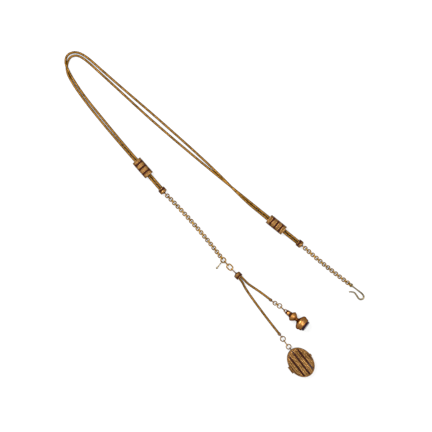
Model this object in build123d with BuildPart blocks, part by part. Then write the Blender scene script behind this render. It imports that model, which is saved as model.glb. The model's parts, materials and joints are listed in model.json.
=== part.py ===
from build123d import *

import os
from math import asin, atan, atan2, cos, degrees, pi, radians, sin, tan

# A gentleman's double-strand watch chain with two slides, a seal and a locket, laid flat on a table.
# The table is z = 0, headings are degrees from +X in the table's plane, and lengths are millimetres.

os.makedirs("parts", exist_ok=True)

# Woven strands
strand_diameter = 1.4
strand_spacing = 1.46

# End caps and the eye on each
cap_diameter = 4.4
cap_length = 3.85
cap_rim_length = 0.5
cap_rim_diameter = 4.1
cap_shoulder = 0.7
cap_nose_diameter = 1.5
cap_round_share = 0.25
cap_round_radius_share = 0.76
cap_band_length = 0.95
cap_band_depth = 0.32
band_proud = 0.06
cap_pocket = 1.2
eye_size = 2.4
eye_wire = 0.62
eye_sink = 0.2

# Slides on the strands
slide_length = 11.6
slide_width = 6.0
slide_corner = 1.7
slide_chamfer = 0.25
slide_band_length = 0.95
slide_band_depth = 0.35
slide_band_shares = (0.21, 0.49, 0.78)
liner_wall = 0.55
slide_clearance = 0.04
slide_to_cap = 10.7
left_straight = 35.6
right_straight = 40.2

# Chain links
link_size = 2.93
link_wire = 0.69
link_clearance = 0.06
links_per_run = 4
left_link_count = 34
right_link_count = 24
droop = 2.7
twist_per_link = 8.0
ring_sides = 12
wire_flat_share = 0.5
wire_height_share = 0.866

# Where the two caps lie, and which way each chain runs from its cap
left_mouth = (-52.56, 47.02)
left_heading = -48.85
left_chain_headings = (-45.0, -52.5)
right_mouth = (29.31, 15.05)
right_heading = -38.91
right_chain_headings = (-42.0, -36.0)

# Junction of the chain and the fob
junction_size = 3.84
junction_wire = 0.8
junction_heading = -47.0
connector_length = 4.5
connector_width = 2.7
oval_length = 4.8
oval_width = 3.6
bar_length = 4.6
bar_diameter = 0.85
bar_knob_diameter = 1.2
bar_eye_size = 1.95
bar_eye_wire = 0.42
bar_heading = -129.0
bar_droop = 9.0
knob_bevel_share = 0.25

# Fob cap with its two cords
fob_heading = -45.0
fob_eye_length = 4.4
rivet_diameter = 0.9
rivet_height = 0.25
rivet_place_share = 0.62
rivet_round_share = 0.7
ferrule_diameter = 1.9
ferrule_length = 2.0
ferrule_bore_depth = 1.2
ferrule_bevel_share = 0.2
branch_wire = 0.6
small_eye_size = 2.0

# Seal and the rings that carry it
seal_ring_sizes = (3.0, 2.5, 3.4)
seal_link_length = 4.2
seal_link_width = 2.4
seal_ring_headings = (-33.0, -30.0, -32.0)
seal_link_heading = -42.0
seal_heading = -37.0
seal_loop_size = 2.2
seal_lift = 0.05
stem_diameter = 2.3
seal_collar_diameter = 2.9
seal_collar_length = 0.7
collar_gap_share = 0.4
seal_bead_diameter = 3.1
seal_bead_length = 1.9
upper_collar_diameter = 3.5
bell_diameter = 6.0
bell_rise = 1.15
bell_fall = 2.9
neck_diameter = 2.1
neck_length = 0.8
seal_peg_diameter = 1.2
seal_peg_length = 0.9
foot_flare = 1.7
foot_diameter = 9.0
foot_height = 2.3
foot_taper = 1.5
bezel_diameter = 7.2
stone_diameter = 6.54
stone_proud = 1.35
stone_sink = 0.8
stone_bevel = 0.35

# Locket and the rings that carry it
locket_ring_size = 3.7
locket_link_length = 4.7
locket_link_width = 2.5
locket_branch_heading = -56.0
bail_heading = -51.0
bail_size = 3.6
locket_heading = -52.0
locket_length = 18.9
locket_width = 14.7
back_height = 2.8
back_round = 1.0
back_floor = 0.9
back_wall = 1.1
cover_crown = 2.9
crown_radius = 28.0
cover_wall = 0.6
cover_gap = 0.05
stripe_count = 5
stripe_width = 1.0
stripe_depth = 0.3
stripe_pitch = 3.3
stripe_border = 0.75
lug_size = 2.2
lug_height = 1.5
frame_wall = 0.9
frame_height = 1.1
frame_above = 0.35
glass_thickness = 0.5
glass_step = 0.25
knuckle_diameter = 1.1
knuckle_length = 1.5
knuckle_gap = 0.05
knuckle_out = 0.22
hinge_pin_diameter = 0.44
hinge_clearance = 0.04
thumb_length = 1.8
thumb_depth = 0.5
thumb_height = 0.5

# Watch hook
hook_wire = 0.8
hook_eye_size = 2.4
hook_reach = 11.1
hook_depth = 3.7
hook_droop = 4.0
hook_heading = -39.5
hook_shares = (
    (0.86, 0.07), (1.0, -0.4), (0.85, -1.0), (0.56, -0.7), (0.33, -0.52), (0.15, -1.02),
)

overrun = 2.0
bend_share = 0.45

bell_shoulder_share = 0.8
bell_waist_share = 0.62
foot_flare_share = 0.45
foot_hollow_share = 0.42
foot_edge_share = 0.9

strand_radius = strand_diameter / 2
frame_seat = frame_height - frame_above
collar_start = seal_collar_length * collar_gap_share
bead_start = collar_start + seal_collar_length
upper_start = bead_start + seal_bead_length
bell_start = upper_start + seal_collar_length
bell_crown = bell_start + bell_rise
neck_start = bell_crown + bell_fall
foot_start = neck_start + neck_length
foot_crown = foot_start + foot_flare + foot_height / 2
face_start = foot_start + foot_flare + foot_height + foot_taper
cap_axis = cap_diameter / 2 + band_proud
link_rest = link_size / 2
table = (0, 0, 1)


class Ring:
    """The size of a closed ring or of a long link: its outer length and width, and its wire."""

    def __init__(self, length, width, wire):
        self.length = length
        self.width = width
        self.wire = wire
        self.reach = (length - wire) / 2
        self.bend = (width - wire) / 2


link = Ring(link_size, link_size, link_wire)
cap_eye = Ring(eye_size, eye_size, eye_wire)
junction = Ring(junction_size, junction_size, junction_wire)
fob_eye = Ring(fob_eye_length, eye_size, eye_wire)
connector = Ring(connector_length, connector_width, link_wire)
oval = Ring(oval_length, oval_width, junction_wire)
small_eye = Ring(small_eye_size, small_eye_size, branch_wire - link_clearance)
seal_rings = [Ring(size, size, branch_wire) for size in seal_ring_sizes]
seal_link = Ring(seal_link_length, seal_link_width, branch_wire)
seal_loop = Ring(seal_loop_size, seal_loop_size, branch_wire - link_clearance)
locket_ring = Ring(locket_ring_size, locket_ring_size, branch_wire)
locket_link = Ring(locket_link_length, locket_link_width, branch_wire)
bail = Ring(bail_size, bail_size, branch_wire)
lug = Ring(lug_size, lug_size, branch_wire)
bar_eye = Ring(bar_eye_size, bar_eye_size, bar_eye_wire)
hook_eye = Ring(hook_eye_size, hook_eye_size, hook_wire)


def keep(piece, name):
    """Label a finished piece and write its STEP file."""
    piece.label = name
    export_step(piece, f"parts/{name}.step")
    return piece


def along(heading):
    """A unit step in the table's plane."""
    return Vector(cos(radians(heading)), sin(radians(heading)), 0)


def across(heading):
    """A unit step to the right of a heading."""
    return Vector(sin(radians(heading)), -cos(radians(heading)), 0)


def spacing(one, other):
    """How far apart the centres lie of two rings that hang in each other, nearly taut."""
    return one.reach + other.reach - (one.wire + other.wire) / 2 - link_clearance


def course(heading, pitch=0.0):
    """A unit step along a heading, rising by the pitch."""
    return along(heading) * cos(radians(pitch)) + Vector(*table) * sin(radians(pitch))


def lying(centre, heading, pitch=0.0, roll=0.0):
    """The plane of a ring that lies flat, or is rolled about its course; 90 stands it on edge."""
    forward = course(heading, pitch)
    right = across(heading)
    up = right.cross(forward)
    return Plane(origin=centre, x_dir=forward, z_dir=up * cos(radians(roll)) + right * sin(radians(roll)))


def standing(centre, heading, pitch=0.0):
    """The plane of a ring that stands on edge."""
    return lying(centre, heading, pitch, 90)


def ring_outline(ring, shift, inner):
    """Corners of a ring's outline, shift outside the middle of its wire, with flat sides between."""
    radius = ring.bend + shift
    if inner:
        radius = radius / cos(pi / ring_sides)
    straight = ring.reach - ring.bend
    half = ring_sides // 2
    corners = []
    for side in range(2):
        middle = straight if side == 0 else -straight
        for step in range(half + (1 if straight else 0)):
            angle = pi * side - pi / 2 + pi * step / half
            corners.append((middle + radius * cos(angle), radius * sin(angle)))
    return corners


def ring_body(ring, inner, mode):
    """What the outer or the inner wall of a ring's wire encloses, in three levels with flat sides."""
    sign = -1 if inner else 1
    half = ring.wire / 2
    lift = half * wire_height_share
    levels = []
    for height, shift in ((-lift, half * wire_flat_share), (0, half), (lift, half * wire_flat_share)):
        with BuildSketch(Plane.XY.offset(height)) as level:
            with BuildLine():
                Polyline(*ring_outline(ring, shift * sign, inner), close=True)
            make_face()
        levels.append(level.sketch)
    loft(levels, ruled=True, mode=mode)


def ring_solid(ring):
    """A ring of wire in XY around the origin, its long way along X."""
    with BuildPart() as made:
        ring_body(ring, False, Mode.ADD)
        ring_body(ring, True, Mode.SUBTRACT)
    return made.part


def ring_group(ring, planes):
    """Like rings, each a solid of its own, one on each plane."""
    with BuildPart() as group:
        for plane in planes:
            with Locations(plane):
                add(ring)
    return group.part


def keep_ring(ring, plane, name):
    """Keep a single ring that lies or stands on a plane."""
    return keep(ring_group(ring_solid(ring), [plane]), name)


def bend_radii(points):
    """The radius of each corner of a cord's route, as large as its two runs allow."""
    radii = []
    for before, corner, after in zip(points, points[1:], points[2:]):
        back = Vector(*corner) - Vector(*before)
        on = Vector(*after) - Vector(*corner)
        turn = radians(back.get_angle(on))
        radii.append(bend_share * min(back.length, on.length) / tan(turn / 2))
    return radii


def cord_tube(name, points, diameter):
    """A cord's tube along straight runs joined by tangent arcs, with its radii printed."""
    radii = bend_radii(points)
    with BuildPart() as tube:
        with BuildLine() as path:
            FilletPolyline(*points, radius=radii)
        start = path.line @ 0
        with BuildSketch(Plane(origin=start, z_dir=path.line % 0)):
            Circle(diameter / 2)
        sweep()
    length = sum(edge.length for edge in path.edges())
    expected = pi * diameter * diameter / 4 * length
    print(name, "length", round(length, 1), "volume share", round(tube.part.volume / expected, 4))
    print(name, "radii", [round(radius, 1) for radius in radii])
    return tube.part


# Cords' routes over the table, between the straight stretches at their ends
over_route = [
    (-85.8, 86.9, 0.7), (-97.8, 101.6, 0.7), (-105.1, 112.3, 0.7), (-107.8, 117.4, 2.25),
    (-110.0, 122.7, 2.25), (-108.6, 127.7, 1.5), (-103.1, 129.3, 0.7), (-97.0, 126.1, 0.7),
    (-89.6, 119.5, 0.7), (-77.1, 108.5, 0.7), (-53.2, 88.0, 0.7), (-22.0, 60.1, 0.7),
]
under_route = [
    (-87.3, 85.9, 0.7), (-99.1, 100.7, 0.7), (-106.8, 112.0, 0.7), (-109.3, 117.9, 0.7),
    (-108.6, 123.3, 0.7), (-106.5, 126.4, 0.7), (-102.6, 127.1, 0.7), (-97.9, 124.4, 0.7),
    (-90.9, 118.1, 0.7), (-78.9, 107.1, 0.7), (-55.9, 85.9, 0.7), (-23.3, 58.5, 0.7),
]
long_cord_route = [
    (-2.3, -12.3, 0.9), (2.6, -19.4, 0.7), (9.4, -28.6, 0.7), (14.9, -35.7, 0.95), (18.7, -40.5, 1.35),
]
short_cord_route = [(-0.3, -10.1, 1.2), (4.3, -13.1, 0.7), (9.6, -16.8, 0.8), (13.6, -20.0, 1.35)]


def mouth_plane(mouth, heading, height):
    """The plane across a cap's mouth: its normal runs on into the cap, and its X lies level."""
    return Plane(origin=(mouth[0], mouth[1], height), x_dir=-across(heading), z_dir=along(heading))


left_cap_plane = mouth_plane(left_mouth, left_heading, cap_axis)
right_cap_plane = mouth_plane(right_mouth, right_heading, cap_axis)


def beside(plane, distance, side):
    """A point of one strand's axis: so far past a cap's mouth, on one side of the pair."""
    return tuple(plane.from_local_coords((side * strand_spacing / 2, 0, distance)))


def strand_points(route, side):
    """A whole strand's route, from the pocket of one cap to the pocket of the other."""
    start = [beside(left_cap_plane, cap_pocket, side), beside(left_cap_plane, -left_straight, side)]
    end = [beside(right_cap_plane, -right_straight, side), beside(right_cap_plane, cap_pocket, side)]
    return start + route + end


def pair_outline(clearance):
    """The outline round two strands side by side, on the sketch plane in use."""
    SlotCenterToCenter(strand_spacing, strand_diameter + 2 * clearance)


def cap_shell(plane, eye):
    """An end cap: a turned cup with a rim, a groove for its enamel band and a soldered eye."""
    axis = Axis(plane.origin, plane.z_dir)
    side = Plane(origin=plane.origin, x_dir=plane.z_dir, z_dir=plane.y_dir)
    groove_end = cap_rim_length + cap_band_length
    loop = ring_solid(eye)
    with BuildPart() as cap:
        with BuildSketch(side):
            with BuildLine():
                Polyline(
                    (0, 0),
                    (0, cap_rim_diameter / 2),
                    (cap_rim_length, cap_rim_diameter / 2),
                    (cap_rim_length, cap_diameter / 2 - cap_band_depth),
                    (groove_end, cap_diameter / 2 - cap_band_depth),
                    (groove_end, cap_diameter / 2),
                    (cap_length - cap_shoulder, cap_diameter / 2),
                )
                ThreePointArc(
                    (cap_length - cap_shoulder, cap_diameter / 2),
                    (
                        cap_length - cap_shoulder * cap_round_share,
                        cap_diameter / 2 * cap_round_radius_share,
                    ),
                    (cap_length, cap_nose_diameter / 2),
                )
                Polyline((cap_length, cap_nose_diameter / 2), (cap_length, 0), (0, 0))
            make_face()
        revolve(axis=axis)
        with BuildSketch(plane):
            pair_outline(slide_clearance)
        extrude(amount=cap_pocket, mode=Mode.SUBTRACT)
        with Locations(eye_plane(plane, eye)):
            add(loop)
    return cap.part


def eye_plane(plane, eye):
    """The standing plane of the eye on a cap's nose."""
    centre = plane.origin + plane.z_dir * (cap_length + eye.reach - eye_sink)
    return Plane(origin=centre, x_dir=plane.z_dir, z_dir=-plane.x_dir)


def cap_band(plane):
    """The enamel band in a cap's groove."""
    with BuildPart() as band:
        with BuildSketch(plane.offset(cap_rim_length)):
            Circle(cap_diameter / 2 + band_proud)
            Circle(cap_diameter / 2 - cap_band_depth, mode=Mode.SUBTRACT)
        extrude(amount=cap_band_length)
    return band.part


def slide_plane(cap_plane):
    """The plane across the loop end of a slide at rest."""
    return cap_plane.offset(-slide_to_cap - slide_length)


def slide_grooves(plane):
    """The planes where a slide's enamel bands start."""
    return [plane.offset(slide_length * share - slide_band_length / 2) for share in slide_band_shares]


def slide_outline(growth):
    """A slide's rounded cross-section, grown on every side."""
    RectangleRounded(slide_width + 2 * growth, 2 * cap_axis + 2 * growth, slide_corner + growth)


def slide_core():
    """A slide's cross-section at the bottom of its grooves, taken out of the sketch in use."""
    RectangleRounded(
        slide_width - 2 * slide_band_depth,
        2 * cap_axis - 2 * slide_band_depth,
        slide_corner - slide_band_depth,
        mode=Mode.SUBTRACT,
    )


def slide_barrel(plane):
    """A slide's gold barrel, grooved for its enamel, with a slot for its liner."""
    with BuildPart() as barrel:
        with BuildSketch(plane):
            slide_outline(-band_proud)
        extrude(amount=slide_length)
        ends = barrel.faces().sort_by(Axis(plane.origin, plane.z_dir))
        chamfer(ends[0].edges() + ends[-1].edges(), slide_chamfer)
        for groove in slide_grooves(plane):
            with BuildSketch(groove):
                slide_outline(overrun)
                slide_core()
            extrude(amount=slide_band_length, mode=Mode.SUBTRACT)
        with BuildSketch(plane):
            pair_outline(slide_clearance + liner_wall)
        extrude(amount=slide_length, mode=Mode.SUBTRACT)
    return barrel.part


def slide_bands(plane):
    """A slide's three enamel bands, each a closed ring in its groove."""
    with BuildPart() as bands:
        for groove in slide_grooves(plane):
            with BuildSketch(groove):
                slide_outline(0)
                slide_core()
            extrude(amount=slide_band_length)
    return bands.part


def slide_liner(plane):
    """The soft liner that grips the strands inside a slide."""
    with BuildPart() as liner:
        with BuildSketch(plane):
            pair_outline(slide_clearance + liner_wall)
            SlotCenterToCenter(strand_spacing, strand_diameter + 2 * slide_clearance, mode=Mode.SUBTRACT)
        extrude(amount=slide_length)
    return liner.part


def chain_planes(cap_plane, count, headings, twist):
    """The plane of each link of a chain that leaves a cap, link by link, down to the table."""
    centre = eye_plane(cap_plane, cap_eye).origin
    reach = spacing(cap_eye, link)
    planes = []
    for number in range(count):
        heading = headings[0] + (headings[1] - headings[0]) * number / (count - 1)
        drop = min(sin(radians(droop)), (centre.Z - link_rest) / reach)
        pitch = -degrees(asin(drop))
        centre = centre + course(heading, pitch) * reach
        reach = spacing(link, link)
        roll = twist * max(0, number - count + links_per_run)
        planes.append(lying(centre, heading, pitch, roll + (90 if number % 2 else 0)))
    return planes


left_links = chain_planes(left_cap_plane, left_link_count, left_chain_headings, 0)
right_links = chain_planes(right_cap_plane, right_link_count, right_chain_headings, twist_per_link)

# The junction climbs from the end of the long chain to the height of the fob cap
junction_centre = left_links[-1].origin + along(left_chain_headings[1]) * spacing(link, junction)
climb = spacing(junction, connector) + spacing(connector, oval) + spacing(oval, fob_eye)
climb_pitch = degrees(asin((cap_axis - link_rest) / climb))
connector_centre = junction_centre + course(junction_heading, climb_pitch) * spacing(junction, connector)
oval_centre = connector_centre + course(junction_heading, climb_pitch) * spacing(connector, oval)
fob_eye_centre = oval_centre + course(fob_heading, climb_pitch) * spacing(oval, fob_eye)
fob_mouth = fob_eye_centre + along(fob_heading) * (fob_eye.reach - eye_sink + cap_length)
fob_cap_plane = mouth_plane((fob_mouth.X, fob_mouth.Y), fob_heading + 180, cap_axis)


def fob_cord_points(route, side):
    """A fob cord's route: out of the fob cap's pocket, then over the table to its ferrule."""
    pocket = beside(fob_cap_plane, cap_pocket, side)
    corner = beside(fob_cap_plane, -2 * cap_pocket, side)
    return [pocket, corner] + route


long_cord_points = fob_cord_points(long_cord_route, 1)
short_cord_points = fob_cord_points(short_cord_route, -1)


def last_heading(points):
    """The heading of a route's last run."""
    return degrees(atan2(points[-1][1] - points[-2][1], points[-1][0] - points[-2][0]))


def ferrule_plane(points):
    """The plane across a cord's end, whose normal runs on along the cord's last run."""
    last = Vector(*points[-1]) - Vector(*points[-2])
    return Plane(origin=points[-1], x_dir=-across(last_heading(points)), z_dir=last)


def ferrule_eye_plane(plane):
    """The standing plane of the eye on a ferrule's far end."""
    reach = ferrule_length - ferrule_bore_depth + small_eye.reach - eye_sink
    return Plane(origin=plane.origin + plane.z_dir * reach, x_dir=plane.z_dir, z_dir=-plane.x_dir)


def ferrule(plane):
    """The turned sleeve on a cord's end, with its eye."""
    back = plane.offset(-ferrule_bore_depth)
    loop = ring_solid(small_eye)
    with BuildPart() as sleeve:
        with BuildSketch(back):
            Circle(ferrule_diameter / 2)
        extrude(amount=ferrule_length)
        ends = sleeve.faces().sort_by(Axis(back.origin, back.z_dir))
        chamfer(ends[-1].edges(), ferrule_diameter * ferrule_bevel_share)
        with BuildSketch(back):
            Circle(strand_radius)
        extrude(amount=ferrule_bore_depth, mode=Mode.SUBTRACT)
        with Locations(ferrule_eye_plane(plane)):
            add(loop)
    return sleeve.part


def hang(start, one, ring, heading, height=None):
    """The centre of a ring that hangs in another, levelled to a height if one is given."""
    reach = spacing(one, ring)
    rise = 0 if height is None else height - start.Z
    return start + along(heading) * (reach * cos(asin(rise / reach))) + Vector(*table) * rise


# Seal: two rings that lie and one that stands, a long link, then the seal's own loop
long_ferrule = ferrule_plane(long_cord_points)
short_ferrule = ferrule_plane(short_cord_points)
seal_tilt = degrees(atan((foot_diameter - bell_diameter) / 2 / (foot_crown - bell_crown)))
seal_rise = bell_diameter / 2 * cos(radians(seal_tilt)) - bell_crown * sin(radians(seal_tilt))
seal_start_height = seal_rise + seal_lift
loop_reach = seal_loop.reach - eye_sink
loop_height = seal_start_height - loop_reach * sin(radians(seal_tilt))
seal_hangs = [(small_eye, ferrule_eye_plane(short_ferrule).origin)]
for ring, heading in zip(seal_rings, seal_ring_headings):
    before, start = seal_hangs[-1]
    seal_hangs.append((ring, hang(start, before, ring, heading)))
seal_centres = [centre for _, centre in seal_hangs[1:]]
seal_link_centre = hang(seal_centres[-1], seal_rings[-1], seal_link, seal_link_heading)
seal_loop_centre = hang(seal_link_centre, seal_link, seal_loop, seal_heading, loop_height)
seal_start = seal_loop_centre + course(seal_heading, seal_tilt) * loop_reach
seal_plane = Plane(origin=seal_start, x_dir=-across(seal_heading), z_dir=course(seal_heading, seal_tilt))

# Locket: a ring that lies, a long link that stands, the bail, then the lug on the locket
locket_start = ferrule_eye_plane(long_ferrule).origin
locket_ring_centre = hang(locket_start, small_eye, locket_ring, locket_branch_heading)
locket_link_centre = hang(locket_ring_centre, locket_ring, locket_link, locket_branch_heading)
bail_centre = hang(locket_link_centre, locket_link, bail, bail_heading)
lug_centre = hang(bail_centre, bail, lug, locket_heading, lug_height)
locket_middle = lug_centre + along(locket_heading) * (lug.reach - eye_sink + locket_length / 2)
locket_plane = Plane(
    origin=(locket_middle.X, locket_middle.Y, 0), x_dir=along(locket_heading), z_dir=Vector(*table)
)


def side_of(plane):
    """The plane that holds a turned piece's profile: X along its axis, Y out from it."""
    return Plane(origin=plane.origin, x_dir=plane.z_dir, z_dir=plane.y_dir)


def seal_bell():
    """The seal's stem, bell and neck, turned in one piece, with a loop and a peg for the foot."""
    stem = stem_diameter / 2
    neck = neck_diameter / 2
    peg = seal_peg_diameter / 2
    loop = ring_solid(seal_loop)
    with BuildPart() as bell:
        with BuildSketch(side_of(seal_plane)):
            with BuildLine():
                Polyline((0, 0), (0, stem), (bead_start, stem))
                ThreePointArc(
                    (bead_start, stem),
                    (bead_start + seal_bead_length / 2, seal_bead_diameter / 2),
                    (bead_start + seal_bead_length, stem),
                )
                Polyline((bead_start + seal_bead_length, stem), (bell_start, stem))
                ThreePointArc(
                    (bell_start, stem),
                    (
                        bell_start + bell_rise * bell_shoulder_share,
                        bell_diameter / 2 * bell_shoulder_share,
                    ),
                    (bell_crown, bell_diameter / 2),
                )
                ThreePointArc(
                    (bell_crown, bell_diameter / 2),
                    (bell_crown + bell_fall / 2, bell_diameter / 2 * bell_waist_share),
                    (neck_start, neck),
                )
                Polyline(
                    (neck_start, neck),
                    (foot_start, neck),
                    (foot_start, peg),
                    (foot_start + seal_peg_length, peg),
                    (foot_start + seal_peg_length, 0),
                    (0, 0),
                )
            make_face()
        revolve(axis=Axis(seal_plane.origin, seal_plane.z_dir))
        with Locations(lying(seal_loop_centre, seal_heading, seal_tilt)):
            add(loop)
    return bell.part


def seal_collars():
    """The two enamel collars round the seal's stem."""
    with BuildPart() as collars:
        sizes = ((collar_start, seal_collar_diameter), (upper_start, upper_collar_diameter))
        for start, diameter in sizes:
            with BuildSketch(seal_plane.offset(start)):
                Circle(diameter / 2)
                Circle(stem_diameter / 2, mode=Mode.SUBTRACT)
            extrude(amount=seal_collar_length)
    return collars.part


def seal_foot():
    """The seal's cushion-shaped foot, with a seat for the stone and a hole for the neck's peg."""
    neck = neck_diameter / 2
    foot = foot_diameter / 2
    bezel = bezel_diameter / 2
    stone = stone_diameter / 2
    peg = seal_peg_diameter / 2
    seat = face_start - stone_sink
    with BuildPart() as base:
        with BuildSketch(side_of(seal_plane)):
            with BuildLine():
                Polyline((foot_start + seal_peg_length, 0), (foot_start + seal_peg_length, peg))
                Polyline((foot_start + seal_peg_length, peg), (foot_start, peg), (foot_start, neck))
                ThreePointArc(
                    (foot_start, neck),
                    (foot_start + foot_flare * foot_flare_share, foot * foot_hollow_share),
                    (foot_start + foot_flare, foot * foot_edge_share),
                )
                ThreePointArc(
                    (foot_start + foot_flare, foot * foot_edge_share),
                    (foot_crown, foot),
                    (foot_start + foot_flare + foot_height, foot * foot_edge_share),
                )
                Polyline(
                    (foot_start + foot_flare + foot_height, foot * foot_edge_share),
                    (face_start, bezel),
                    (face_start, stone),
                    (seat, stone),
                    (seat, 0),
                    (foot_start + seal_peg_length, 0),
                )
            make_face()
        revolve(axis=Axis(seal_plane.origin, seal_plane.z_dir))
    return base.part


def seal_stone():
    """The flat seal stone, bevelled round its face."""
    with BuildPart() as stone:
        with BuildSketch(seal_plane.offset(face_start - stone_sink)):
            Circle(stone_diameter / 2)
        extrude(amount=stone_sink + stone_proud)
        face = stone.faces().sort_by(Axis(seal_plane.origin, seal_plane.z_dir))[-1]
        chamfer(face.edges(), stone_bevel)
    return stone.part


def oval_outline(inset):
    """The locket's oval, drawn inside its outline by an inset."""
    Ellipse(locket_length / 2 - inset, locket_width / 2 - inset)


def knuckle_starts():
    """Where each of the hinge's three knuckles starts along the hinge."""
    pitch = knuckle_length + knuckle_gap
    first = -pitch - knuckle_length / 2
    return [first, first + pitch, first + 2 * pitch]


hinge_plane = Plane(
    origin=locket_plane.from_local_coords((0, -locket_width / 2 - knuckle_out, back_height)),
    x_dir=Vector(*table),
    z_dir=locket_plane.x_dir,
)


def knuckles(starts, radius, spare, mode):
    """Lengths of hinge barrel round the hinge's pin, added to or taken from the piece in hand."""
    for start in starts:
        with BuildSketch(hinge_plane.offset(start - spare)) as barrel:
            Circle(radius + spare)
        extrude(barrel.sketch, amount=knuckle_length + 2 * spare, mode=mode)


def pin_bore():
    """The hole for the hinge pin, through whatever piece is in hand."""
    with BuildSketch(hinge_plane) as bore:
        Circle(hinge_pin_diameter / 2 + hinge_clearance)
    extrude(bore.sketch, amount=2 * overrun, both=True, mode=Mode.SUBTRACT)


def locket_back():
    """The locket's back shell: an oval dish with a seat for its frame, a lug and two knuckles."""
    starts = knuckle_starts()
    loop = ring_solid(lug)
    with BuildPart() as back:
        with BuildSketch(locket_plane):
            oval_outline(0)
        extrude(amount=back_height)
        bottom = back.faces().sort_by(Axis.Z)[0]
        fillet(bottom.edges(), back_round)
        with BuildSketch(locket_plane.offset(back_height - frame_seat)):
            oval_outline(back_wall)
        extrude(amount=frame_seat, mode=Mode.SUBTRACT)
        with BuildSketch(locket_plane.offset(back_floor)):
            oval_outline(back_wall + frame_wall)
        extrude(amount=back_height, mode=Mode.SUBTRACT)
        knuckles([starts[0], starts[2]], knuckle_diameter / 2, 0, Mode.ADD)
        knuckles([starts[1]], knuckle_diameter / 2, knuckle_gap, Mode.SUBTRACT)
        pin_bore()
        with Locations(standing(lug_centre, locket_heading)):
            add(loop)
    return back.part


def crown(inset):
    """The centre height and radius of the ball that a crown, inside the cover's by an inset, is part of."""
    return back_height + cover_crown - crown_radius, crown_radius - inset


def crowned(height, inset, radius_inset, outline):
    """An oval column under the crown, from a height up, added to the piece in hand."""
    centre, radius = crown(radius_inset)
    with BuildSketch(locket_plane.offset(height)) as base:
        outline(inset)
    extrude(base.sketch, amount=cover_crown + overrun)
    with Locations(locket_plane.offset(centre)):
        Sphere(radius, mode=Mode.INTERSECT)


def cover_column(height, radius_inset, outline, inset):
    """A crowned oval column as a piece by itself."""
    with BuildPart() as column:
        crowned(height, inset, radius_inset, outline)
    return column.part


def stripes_outline(inset):
    """The stripes along the locket, within an oval border."""
    for number in range(stripe_count):
        with Locations((0, (number - (stripe_count - 1) / 2) * stripe_pitch)):
            Rectangle(locket_length, stripe_width)
    Ellipse(locket_length / 2 - inset, locket_width / 2 - inset, mode=Mode.INTERSECT)


def locket_enamel():
    """The five enamel stripes let into the cover's crown."""
    shell = cover_column(back_height + cover_gap, stripe_depth, oval_outline, 0)
    with BuildPart() as stripes:
        crowned(back_height + cover_wall, stripe_border, 0, stripes_outline)
        add(shell, mode=Mode.SUBTRACT)
    return stripes.part


def locket_cover(stripes):
    """The locket's hinged cover: a crowned shell with a thumb piece and one knuckle."""
    starts = knuckle_starts()
    hollow = cover_column(back_height, cover_wall, oval_outline, cover_wall)
    with BuildPart() as cover:
        crowned(back_height + cover_gap, 0, 0, oval_outline)
        with BuildSketch(locket_plane.offset(back_height + cover_gap)):
            with Locations((0, locket_width / 2)):
                Ellipse(thumb_length / 2, thumb_depth)
        extrude(amount=thumb_height)
        knuckles([starts[1]], knuckle_diameter / 2, 0, Mode.ADD)
        add(hollow, mode=Mode.SUBTRACT)
        add(stripes, mode=Mode.SUBTRACT)
        knuckles([starts[0], starts[2]], knuckle_diameter / 2, knuckle_gap, Mode.SUBTRACT)
        pin_bore()
    return cover.part


def locket_frame():
    """The oval frame that holds the glass in the locket's back."""
    glass_inset = back_wall + frame_wall - glass_step
    with BuildPart() as frame:
        with BuildSketch(locket_plane.offset(back_height - frame_seat)):
            oval_outline(back_wall)
            Ellipse(
                locket_length / 2 - back_wall - frame_wall,
                locket_width / 2 - back_wall - frame_wall,
                mode=Mode.SUBTRACT,
            )
        extrude(amount=frame_height)
        with BuildSketch(locket_plane.offset(back_height - glass_thickness)):
            oval_outline(glass_inset)
        extrude(amount=glass_thickness, mode=Mode.SUBTRACT)
    return frame.part


def locket_glass():
    """The oval glass over the picture."""
    with BuildPart() as glass:
        with BuildSketch(locket_plane.offset(back_height - glass_thickness)):
            oval_outline(back_wall + frame_wall - glass_step)
        extrude(amount=glass_thickness)
    return glass.part


def locket_pin():
    """The hinge pin through all three knuckles."""
    starts = knuckle_starts()
    with BuildPart() as pin:
        with BuildSketch(hinge_plane.offset(starts[0])):
            Circle(hinge_pin_diameter / 2)
        extrude(amount=starts[2] - starts[0] + knuckle_length)
    return pin.part


def bar():
    """The small drop bar with its eye round the junction ring's wire and a knob on its end."""
    plane = bar_plane
    rod = Plane(origin=plane.origin, x_dir=plane.y_dir, z_dir=plane.x_dir)
    start = bar_eye.reach
    loop = ring_solid(bar_eye)
    with BuildPart() as made:
        with BuildSketch(rod.offset(start)):
            Circle(bar_diameter / 2)
        extrude(amount=bar_length - start)
        with BuildSketch(rod.offset(bar_length - bar_knob_diameter)):
            Circle(bar_knob_diameter / 2)
        extrude(amount=bar_knob_diameter)
        knob = made.faces().sort_by(Axis(rod.origin, rod.z_dir))[-1]
        chamfer(knob.edges(), bar_knob_diameter * knob_bevel_share)
        with Locations(plane):
            add(loop)
    return made.part


bar_reach = junction.reach + bar_eye.bend - (bar_eye.wire + junction.wire) / 2 - link_clearance
bar_out = along(bar_heading) * bar_reach
bar_plane = standing(junction_centre + bar_out, bar_heading, -bar_droop)


def cap_rivet():
    """The round head of the rivet that holds the cords in the fob cap."""
    top = cap_axis + cap_diameter / 2
    middle = fob_cap_plane.origin + fob_cap_plane.z_dir * (cap_length * rivet_place_share)
    seat = Plane(origin=(middle.X, middle.Y, top - rivet_height), z_dir=Vector(*table))
    with BuildPart() as rivet:
        with BuildSketch(seat):
            Circle(rivet_diameter / 2)
        extrude(amount=2 * rivet_height)
        fillet(rivet.faces().sort_by(Axis.Z)[-1].edges(), rivet_height * rivet_round_share)
    return rivet.part


def drilled(piece, tool):
    """A piece with the space that another one fills taken out of it."""
    with BuildPart() as result:
        add(piece)
        add(tool, mode=Mode.SUBTRACT)
    return result.part


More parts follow.
